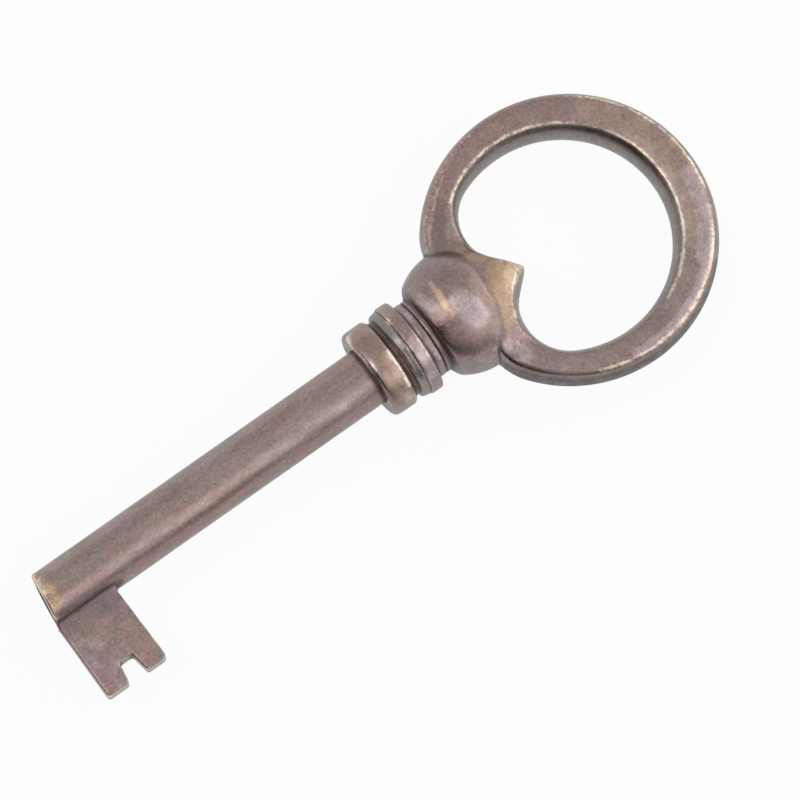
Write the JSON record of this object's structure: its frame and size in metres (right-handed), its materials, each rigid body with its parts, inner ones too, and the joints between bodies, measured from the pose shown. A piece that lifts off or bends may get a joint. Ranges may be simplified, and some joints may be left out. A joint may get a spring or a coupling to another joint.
{
  "type": "skeleton key",
  "caption": "Old barrel key with a round bow, heart-shaped eye, ball and turned rings below it, drilled barrel and a flat bit with a ward cut.",
  "frame": {"origin": "centre of the bounding box in plan, at the height of the lowest point of the ball; the barrel's axis lies 0.3 mm to the +Y side of it and 5.6 mm above it", "axes": "+X along the barrel from its open tip to the bow, the bit points to -Y, +Z is square to the flat faces of the bow"},
  "size_m": [0.0798, 0.0302, 0.0112],
  "materials": {
    "bow_casting": "cast, dark bronze patina with copper and golden wear on edges",
    "turned_rings": "turned, dark bronze patina, rubbed on the crowns",
    "barrel_metal": "drawn tube, smooth dark bronze patina with fine pits and scratches",
    "bit_metal": "flat, dark bronze patina, rubbed edges"
  },
  "bodies": {
    "root": {"bow": "bow_casting", "ball_knop": "bow_casting", "neck_ring": "turned_rings", "shoulder_collar": "turned_rings", "shank": "barrel_metal", "bit": "bit_metal"}
  },
  "joints": []
}
